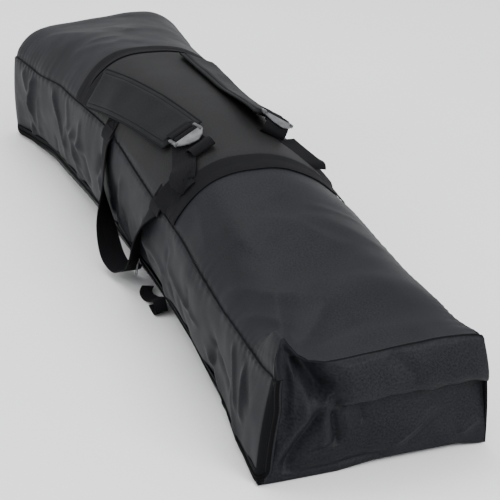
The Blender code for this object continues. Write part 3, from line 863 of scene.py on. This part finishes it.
def place_camera():
    azimuth, rise, roll = (math.radians(a) for a in (CAMERA_AZIMUTH, CAMERA_RISE, CAMERA_ROLL))
    back = Vector((math.sin(azimuth) * math.cos(rise), -math.cos(azimuth) * math.cos(rise),
                   math.sin(rise)))
    right = (-back).cross(Vector((0, 0, 1))).normalized()
    up = right.cross(-back)
    across = right * math.cos(roll) + up * math.sin(roll)
    upright = up * math.cos(roll) - right * math.sin(roll)
    stand = Vector(CAMERA_AIM) + back * CAMERA_AWAY
    bpy.ops.object.camera_add(location=stand)
    camera = bpy.context.object
    turn = Matrix((across, upright, back)).transposed().to_4x4()
    camera.matrix_world = Matrix.Translation(stand) @ turn
    camera.data.sensor_width = 36
    camera.data.lens = CAMERA_LENS
    camera.data.clip_end = 60
    bpy.context.scene.camera = camera


def softbox(name, place, aim, size, power):
    bpy.ops.object.light_add(type="AREA", location=place)
    lamp = bpy.context.object
    lamp.name = name
    lamp.data.shape = "RECTANGLE"
    lamp.data.size, lamp.data.size_y = size
    lamp.data.energy = power
    way = Vector(aim) - Vector(place)
    lamp.rotation_euler = way.to_track_quat("-Z", "Y").to_euler()


def light_studio():
    softbox("key_softbox", (-1.1, -2.5, 1.5), (-0.3, -0.1, 0.1), (1.3, 0.9), 17)
    softbox("top_softbox", (-0.9, -0.3, 2.9), (-0.1, 0.0, 0.1), (2.2, 1.6), 52)
    softbox("near_fill", (2.7, 0.9, 2.0), (0.5, 0.0, 0.1), (1.4, 1.0), 80)
    world = bpy.data.worlds.new("studio")
    world.use_nodes = True
    world.node_tree.nodes["Background"].inputs["Color"].default_value = linear("f6f7f9")
    world.node_tree.nodes["Background"].inputs["Strength"].default_value = 1.25
    bpy.context.scene.world = world


# ---------------------------------------------------------------- shoulder straps
def strap_frame(ends, along):
    """Point, run, across and normal of a shoulder strap lying on the crown."""
    x, y = mix(ends[0][0], ends[1][0], along), mix(ends[0][1], ends[1][1], along)
    dx, dy = ends[1][0] - ends[0][0], ends[1][1] - ends[0][1]
    here = on_crown(x, y, 0.0045)
    run = on_crown(x + dx * 0.02, y + dy * 0.02, 0.0045) - here
    normal = crown_normal(x, crown_a(x, y))
    run = (run - normal * run.dot(normal)).normalized()
    return here, run, normal.cross(run).normalized(), normal


def stitches(name, points, normals, body, pitch=4.2 * MM, long=3.0 * MM):
    """Thread stitches along a line of points, each a small flat bar."""
    bm = bmesh.new()
    carry = 0.0
    for a, b, normal in zip(points, points[1:], normals):
        span = (b - a).length
        if span < 1e-7:
            continue
        run = (b - a) / span
        while carry < span:
            out = (normal - run * normal.dot(run)).normalized()
            block(bm, a + run * carry, (run, out.cross(run), out), (long, 0.75 * MM, 0.55 * MM))
            carry += pitch
        carry -= span
    piece_from(bm, name, THREAD, body, (), 35)


def cross_band(name, centre, node_name):
    """A webbing band across the crown, sewn along both its edges."""
    def place(u, v):
        x = centre + (v - 0.5) * WEB
        a = mix(-0.985, 0.985, u)
        edge = abs(v - 0.5) * 2
        return crown_cloth(x, a) + crown_normal(x, a) * (1.5 * MM - 0.7 * MM * edge ** 6)

    grid_sheet(90, 12, place, (0.34, WEB))
    thicken(CLOTH_T)
    finish_piece(name, WEBBING, "bag_body", (node_name,))
    for i, shift in enumerate((-0.42, 0.42)):
        x = centre + shift * WEB
        across = [mix(-0.97, 0.97, k / 80) for k in range(81)]
        normals = [crown_normal(x, a) for a in across]
        points = [crown_cloth(x, a) + out * 1.6 * MM for a, out in zip(across, normals)]
        stitches(f"{name}_stitching_{i}", points, normals, "bag_body")


LEFT_PAD = ((-0.240, -0.110), (0.062, -0.069))
RIGHT_PAD = ((-0.242, 0.056), (0.048, 0.066))
PAD_W = 0.070


def pad_point(ends, u, v):
    """A point on top of a pad: u along it, v across it."""
    point, run, across, normal = strap_frame(ends, u)
    c = v * 2 - 1
    length = math.hypot(ends[1][0] - ends[0][0], ends[1][1] - ends[0][1])
    edge_d = min((1 - abs(c)) * PAD_W / 2, u * length, (1 - u) * length)
    full = smooth(edge_d / 0.013) ** 0.6
    groove = math.exp(-(((edge_d - 0.0075) / 0.0016) ** 2)) * 1.0 * MM
    quilt = ripple(point.x, c * 0.03, 1, 0.045, 1.6 * MM, 6.0) * full
    high = mix(1.6 * MM, 6.5 * MM, full) - groove + quilt
    corner = smooth((abs(c) - 0.75) / 0.25) * smooth((0.04 - u) / 0.04) * 0.006
    proud = 0.6 * MM + stand_off(ends, u) + high
    return point + run * corner + across * (c * PAD_W / 2) + normal * proud


def stand_off(ends, u):
    """The right pad leaves the bag towards its buckle; the left one lies flat."""
    return 0.013 * smooth((u - 0.55) / 0.45) if ends is RIGHT_PAD else 0.0


def strap_pad(side, ends):
    """A strap's pad with its bound rim and the row of stitches inside it."""
    body = f"{side}_strap"

    def place(u, v):
        return pad_point(ends, u, v)

    def line(spots, lift):
        normals = [strap_frame(ends, u)[3] for u, _ in spots]
        points = [pad_point(ends, u, v) + out * lift * MM
                  for (u, v), out in zip(spots, normals)]
        return points, normals

    grid_sheet(96, 30, place, (0.26, PAD_W))
    thicken(2.0 * MM)
    pad = finish_piece(f"{side}_strap_pad_cloth", PAD_CLOTH, body, (f"{side}_strap_pad",))
    rim = [(u / 60, 0.0) for u in range(61)] + [(1.0, v / 16) for v in range(1, 17)]
    rim += [(1 - u / 60, 1.0) for u in range(1, 61)] + [(0.0, 1 - v / 16) for v in range(1, 17)]
    bind_rim(f"{side}_pad_binding", *line(rim, 0.2), body)
    inner = [(mix(0.03, 0.97, u), mix(0.105, 0.895, v)) for u, v in rim]
    stitches(f"{side}_pad_stitching", *line(inner, 0.25), body)


def bind_rim(name, path, normals, body):
    """Edge binding: a flat tube of tape folded round the rim of a pad."""
    count = len(path)

    def place(u, v):
        i = int(round(u * (count - 1))) % count
        run = (path[(i + 1) % count] - path[(i - 1) % count]).normalized()
        out = run.cross(normals[i]).normalized()
        turn = v * 2 * math.pi
        return (path[i] + out * (2.2 * MM * math.cos(turn) - 0.6 * MM)
                + normals[i] * (1.5 * MM * math.sin(turn) - 0.6 * MM))

    grid_sheet(count - 1, 10, place, (0.65, 0.012))
    merge_close()
    finish_piece(name, BINDING, body, (), 80)


def ladder_lock(side, ends):
    """A moulded ladder-lock: two arms, a sewing bar, a grip bar and a raised lip. Gives the
    function that places a point by millimetres along, across and above it."""
    point, run, across, normal = strap_frame(ends, 1.0)
    base = point + run * 4 * MM + normal * (8 * MM + stand_off(ends, 1.0))
    tip = (run * math.cos(0.10) + normal * math.sin(0.10)).normalized()
    if side == "right":
        # this one is turned outwards and hangs over the shoulder of the bag
        turn = Matrix.Rotation(-0.30, 3, normal)
        tip, across = turn @ tip, turn @ across
    up = across.cross(-tip).normalized()

    def at(r, c, h=0.0):
        return base + tip * r * MM + across * c * MM + up * h * MM

    bm = bmesh.new()
    for c in (-22.3, 22.3):
        bar(bm, at(0, c), at(28, c, 1.2), up, 5.2 * MM, 5.6 * MM, 1.4 * MM)
    bar(bm, at(2.2, -22), at(2.2, 22), up, 4.0 * MM, 4.0 * MM, 1.6 * MM)
    bar(bm, at(13.5, -22), at(13.5, 22), up, 4.4 * MM, 4.0 * MM, 1.2 * MM)
    piece_from(bm, f"{side}_ladder_lock", BUCKLE_DARK, f"{side}_buckle",
               (f"{side}_strap_buckle",))
    # the raised lip in lighter grey than the frame: a painted highlight where the black moulding
    # faces the light
    bm = bmesh.new()
    outline = [(-24.6, 22.0, 2.2), (-24.6, 27.0, 0.8), (-20.0, 30.5, -0.6), (-8.0, 37.0, -3.6),
               (8.0, 40.0, -4.8), (18.0, 35.0, -2.6), (24.6, 27.5, 0.8), (24.6, 22.0, 2.2),
               (18.0, 22.4, 2.2), (-18.0, 22.4, 2.2)]
    upper = [bm.verts.new(at(r, c, h + 1.2)) for c, r, h in outline]
    lower = [bm.verts.new(at(r, c, h - 1.0)) for c, r, h in outline]
    bm.faces.new(upper)
    bm.faces.new(lower[::-1])
    for k in range(len(outline)):
        after = (k + 1) % len(outline)
        bm.faces.new((upper[k], lower[k], lower[after], upper[after]))
    bmesh.ops.bevel(bm, geom=list(bm.edges), offset=0.5 * MM, segments=2, affect="EDGES",
                    profile=0.5)
    bmesh.ops.recalc_face_normals(bm, faces=bm.faces)
    # a short grey stick laid along one arm: a painted highlight on that arm
    bar(bm, at(27.5, -24.2, 2.0), at(20.5, -24.2, 1.8), up, 3.2 * MM, 6.6 * MM, 1.2 * MM)
    piece_from(bm, f"{side}_ladder_lip_painted_highlight", BUCKLE, f"{side}_buckle")
    return at, across


def strap_webbing(side, ends):
    """The webbing at a buckle: the sewn loop that holds it and the tail that runs through."""
    at, across = ladder_lock(side, ends)
    point, _, _, normal = strap_frame(ends, 0.965)
    high = stand_off(ends, 1.0)
    path = soft_path([point + normal * (9.6 * MM + high),
                      strap_frame(ends, 0.99)[0] + normal * (9.9 * MM + high),
                      at(0, 0, 3.4), at(3.4, 0, 2.6), at(4.6, 0, 0), at(3.4, 0, -2.8),
                      at(0, 0, -3.2),
                      strap_frame(ends, 0.98)[0] + normal * (1.5 * MM + high)], 40)
    ribbon(f"{side}_buckle_loop", path, across, BUCKLE_WEB, f"{side}_strap", (), 1.4 * MM)
    # in from below, over the grip bar, out past the lip and curled back under
    curl = [(6, -6.0), (8.5, -2.5), (10.0, 1.5), (13.5, 4.2), (18, 2.5), (20.5, -2.0),
            (26, -7.0)]
    if side == "right":
        curl += [(31, -5.0), (36, -10.0), (37, -18.0), (31, -25.0), (20, -28.0), (8, -26.0)]
    else:
        curl += [(34, -9.5), (44, -8.0), (56, -2.0), (66, -2.5), (70, -8.5), (63, -13.0),
                 (50, -12.5)]
    path = soft_path([at(r, 0, h) for r, h in curl], 90)
    ribbon(f"{side}_strap_end", path, across, BUCKLE_WEB, f"{side}_buckle",
           (f"{side}_strap_tail",), 1.5 * MM)


# Webbing beside the near band, as (x, y, millimetres above the crown).
LEFT_RISE = ((0.150, -0.1335, 2.6), (0.153, -0.127, 4.0), (0.160, -0.116, 7.0),
             (0.166, -0.104, 9.0), (0.166, -0.092, 7.0))
LEFT_BACK = ((0.176, -0.098, 4.0), (0.170, -0.100, 12.5), (0.152, -0.092, 13.0),
             (0.128, -0.086, 9.0), (0.104, -0.079, 7.0), (0.080, -0.073, 7.0))
RIGHT_RISE = ((0.150, 0.1325, 2.6), (0.148, 0.127, 3.4), (0.143, 0.118, 4.4),
              (0.136, 0.108, 5.0), (0.128, 0.100, 5.0))
RIGHT_BACK = ((0.140, 0.106, 3.0), (0.136, 0.103, 8.0), (0.122, 0.096, 9.0),
              (0.104, 0.088, 9.0), (0.084, 0.080, 9.0))


def anchor_and_adjuster(side, ends, sign):
    """The webbing that holds a strap's far end, and the two runs that come to its buckle."""
    def anchor(u, v):
        x = mix(BAND_FAR + WEB / 2 - 0.004, ends[0][0] + 0.010, u)
        y = ends[0][1] + (v - 0.5) * 0.9 * WEB
        return on_crown(x, y, 6.6 * MM * smooth(u * 2.5) + 0.8 * MM)

    grid_sheet(12, 8, anchor, (0.03, WEB))
    thicken(1.4 * MM, 0.0)
    finish_piece(f"{side}_anchor_web", WEBBING, "bag_body", (f"{side}_strap_anchor",))
    rise, back = (LEFT_RISE, LEFT_BACK) if sign < 0 else (RIGHT_RISE, RIGHT_BACK)
    for part, keys, way, names in (
            ("lower", rise, (1.0, sign * -0.3, 0.0), (f"{side}_strap_adjuster",)),
            ("upper", back, (0.25, sign * 1.0, -0.45), ())):
        path = soft_path([on_crown(x, y, high * MM) for x, y, high in keys], 40)
        ribbon(f"{side}_adjuster_{part}_web", path, Vector(way).normalized(), WEB, "bag_body",
               names)


# ---------------------------------------------------------------- handles, hardware, tether
TAB_FAR, TAB_NEAR = -0.126, 0.131     # the handles' sewn tabs
# Handles between their tabs, as (x, height, distance off the side), and the way the
# webbing's width points at the tabs and at each of those places.
LEFT_DROP = ((-0.121, 0.176, 0.003), (-0.115, 0.150, 0.005), (-0.101, 0.112, 0.009),
             (-0.082, 0.075, 0.016), (-0.059, 0.044, 0.025), (-0.040, 0.024, 0.031),
             (-0.020, 0.0155, 0.030), (0.002, 0.0145, 0.026), (0.018, 0.022, 0.021),
             (0.036, 0.043, 0.014), (0.058, 0.075, 0.009), (0.083, 0.112, 0.007),
             (0.108, 0.150, 0.005))
LEFT_WAYS = ((1, 0, 0), (0.95, -0.12, 0.2), (0.93, -0.15, 0.32), (0.93, -0.30, 0.2),
             (0.7, -0.7, 0), (0.3, -1, 0), (0.05, -1, 0), (0.0, -1, 0), (0.05, -1, 0),
             (0.2, -1, 0.1), (0.5, -0.8, -0.2), (0.62, -0.68, -0.38), (0.65, -0.66, -0.38),
             (0.72, -0.52, -0.38), (1, 0, -0.1))
RIGHT_DROP = ((-0.124, 0.172, 0.004), (-0.118, 0.145, 0.006), (-0.106, 0.10, 0.008),
              (-0.082, 0.055, 0.010), (-0.045, 0.024, 0.014), (0.002, 0.014, 0.018),
              (0.048, 0.024, 0.014), (0.086, 0.055, 0.010), (0.110, 0.10, 0.008),
              (0.122, 0.145, 0.006))
RIGHT_WAYS = ((1, 0, 0), (1, 0, 0), (1, 0, 0.1), (1, 0, 0.3), (0.8, 0.2, 0.7), (0.3, 0.4, 1),
              (0, 0.5, 1), (0.3, -0.4, -1), (0.8, -0.2, -0.7), (1, 0, -0.3), (1, 0, -0.1),
              (1, 0, 0))
# The box and cross sewn on a tab, as (distance in from the seam, share of the width).
BOX_CROSS = ((0.005, -0.4), (0.021, -0.4), (0.021, 0.4), (0.005, 0.4), (0.005, -0.4),
             (0.021, 0.4), (0.021, -0.4), (0.005, 0.4))


def off_side(x, z, off, sign):
    """A point off a side of the bag, at height z."""
    top, foot = (seam_left(x), foot_left(x)) if sign < 0 else (seam_right(x), foot_right(x))
    t = min(1.0, max(0.0, (top.z - z) / (top.z - foot.z)))
    return Vector((x, flank(x, t, sign > 0).y + sign * off, z))


def carry_handle(side, sign):
    """A carry handle: the webbing loop and the two sewn tabs that it hangs between."""
    seam = seam_left if sign < 0 else seam_right
    drop, ways = (LEFT_DROP, LEFT_WAYS) if sign < 0 else (RIGHT_DROP, RIGHT_WAYS)
    if sign < 0:
        start, end = Vector((0.002, 0.004, 0.0045)), Vector((0, 0.003, 0.0045))
    else:
        start = end = Vector((0, -0.003, 0.0045))
    keys = [seam(TAB_FAR) + start]
    keys += [off_side(x, z, off, sign) for x, z, off in drop]
    keys.append(seam(TAB_NEAR) + end)
    turned = soft_path([Vector(way).normalized() for way in ways], 140)
    loop = ribbon(f"{side}_handle_loop_web", soft_path(keys, 140), turned, WEB, None,
                  (f"{side}_handle",), 2.0 * MM, 8)
    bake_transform(loop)
    for end_name, x in (("far", TAB_FAR), ("near", TAB_NEAR)):
        keys = [below_seam(x, 0.012, sign, 3.0 * MM), below_seam(x, 0.004, sign, 3.2 * MM)]
        keys += [on_crown(x, seam(x).y - sign * d, 1.8 * MM) for d in (0.002, 0.008, 0.016,
                                                                       0.024)]
        ribbon(f"{side}_tab_{end_name}_web", soft_path(keys, 30), Vector((1, 0, 0)), WEB,
               "bag_body", (f"{side}_handle_tab_{end_name}",), 2.0 * MM, 8)
        box, normals = [], []
        for d, share in BOX_CROSS:
            sewn_x = x + share * WEB
            box.append(on_crown(sewn_x, seam(sewn_x).y - sign * d, 3.0 * MM))
            normals.append(crown_normal(sewn_x, crown_a(sewn_x, box[-1].y)))
        stitches(f"{side}_tab_{end_name}_stitching", box, normals, "bag_body",
                 3.4 * MM, 2.5 * MM)


def below_seam(x, drop, sign, lift):
    """A point just below the seam on either side of the bag."""
    return flank(x, drop / SIDE_TALL, sign > 0) + Vector((0.0, sign * lift, 0.0))


def zip_hardware():
    """Two sliders that meet at the middle of the foot, each with a pull and a ring."""
    along = Vector((1, 0, 0))
    for end, sense in (("near", 1.0), ("far", -1.0)):
        x = 0.016 + sense * 0.0105
        here = on_side(x, ZIP_UP)
        up = (on_side(x, ZIP_UP + 0.004) - on_side(x, ZIP_UP - 0.004)).normalized()
        out = along.cross(up).normalized()
        body = here + out * 2.6 * MM
        # upper plate, its wide nose, lower plate and the bridge: half length, width,
        # thickness and edge radius, in millimetres
        plates = ((body, 5.5, 8.0, 1.5, 0.6), (body + along * sense * 3.0 * MM, 2.4, 10.5, 1.5,
                                               0.6),
                  (here - out * 1.2 * MM, 5.5, 8.0, 1.0, 0.4),
                  (body + out * 2.4 * MM, 4, 2.2, 1.0, 0.4))
        bm = bmesh.new()
        for centre, half, wide, thick, edge in plates:
            bar(bm, centre - along * half * MM, centre + along * half * MM, out,
                wide * MM, thick * MM, edge * MM)
        for shift in (-4.0, 4.0):
            foot = body + along * shift * MM
            bar(bm, foot + out * 0.4 * MM, foot + out * 2.6 * MM, along,
                2.2 * MM, 1.0 * MM, 0.35 * MM)
        piece_from(bm, f"slider_{end}_body", METAL, f"slider_{end}", (f"zip_slider_{end}",))
        zip_pull(end, body + out * 1.9 * MM, sense, out)


def zip_pull(end, hinge, sense, out):
    """A pull: two arms that taper to a tip, closed by two cross bars, and its ring."""
    down = (Vector((0, -0.18, -1.0)) + Vector((0.12 * sense, 0.0, 0.0))).normalized()
    face = (out - down * out.dot(down)).normalized()
    across = down.cross(face)

    def at(c, d):
        return hinge + across * c * MM + down * d * MM

    bm = bmesh.new()
    for a, b, wide in (((-2.4, 0), (-1.68, 13), 1.3), ((2.4, 0), (1.68, 13), 1.3),
                       ((-2.8, 0), (2.8, 0), 1.3), ((-2.2, 12), (2.2, 12), 2.4)):
        bar(bm, at(*a), at(*b), face, wide * MM, 1.3 * MM, 0.4 * MM)
    steps = 18
    turns = [2 * math.pi * k / steps for k in range(steps + 1)]
    ring = [at(4.4 * math.cos(turn), 17.5 + 5.0 * math.sin(turn)) for turn in turns]
    for a, b in zip(ring, ring[1:]):
        grow = (b - a).normalized() * 0.35 * MM
        bar(bm, a - grow, b + grow, face, 1.5 * MM, 1.5 * MM, 0.45 * MM)
    piece_from(bm, f"pull_{end}_tab", METAL, f"pull_{end}", (f"zip_pull_{end}",))


def tether():
    """A short webbing tether on the floor by the flap's foot, its end curled into a loop."""
    keys = [(0.052, -0.124, 0.006), (0.062, -0.131, 0.003), (0.078, -0.133, 0.003),
            (0.096, -0.131, 0.006), (0.112, -0.130, 0.013), (0.126, -0.131, 0.019),
            (0.137, -0.132, 0.015), (0.141, -0.132, 0.007), (0.132, -0.133, 0.0025),
            (0.118, -0.132, 0.002), (0.106, -0.131, 0.003)]
    path = soft_path(keys, 90)
    web = ribbon("floor_tether_web", path, Vector((0.0, 1.0, 0.25)).normalized(), TETHER_W,
                 "bag_body", ("floor_tether",), 1.6 * MM)


def main():
    lay_floor()
    place_camera()
    light_studio()
    build_shell()
    build_cap("near_end_cloth", 1, "near_end_panel")
    build_cap("far_end_cloth", -1, "far_end_panel")
    flap = build_flap()
    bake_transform(flap)
    build_gusset()
    zip_ribbon("zip_tape_outer", -0.3 * MM, -7.0 * MM, "bag_body", ("zip_tape_body",))
    zip_ribbon("zip_tape_inner", 0.3 * MM, TAPE_W, "flap", ("zip_tape_flap",))
    tooth_row("zip_coil_outer", -1, "bag_body", ("zip_coil_body",))
    tooth_row("zip_coil_inner", 1, "flap", ("zip_coil_flap",))
    cross_band("far_cross_web", BAND_FAR, "cross_band_far")
    cross_band("near_cross_web", BAND_NEAR, "cross_band_near")
    for side, ends, sign in (("left", LEFT_PAD, -1), ("right", RIGHT_PAD, 1)):
        strap_pad(side, ends)
        strap_webbing(side, ends)
        anchor_and_adjuster(side, ends, sign)
        carry_handle(side, sign)
    zip_hardware()
    tether()
    all_seams()


main()
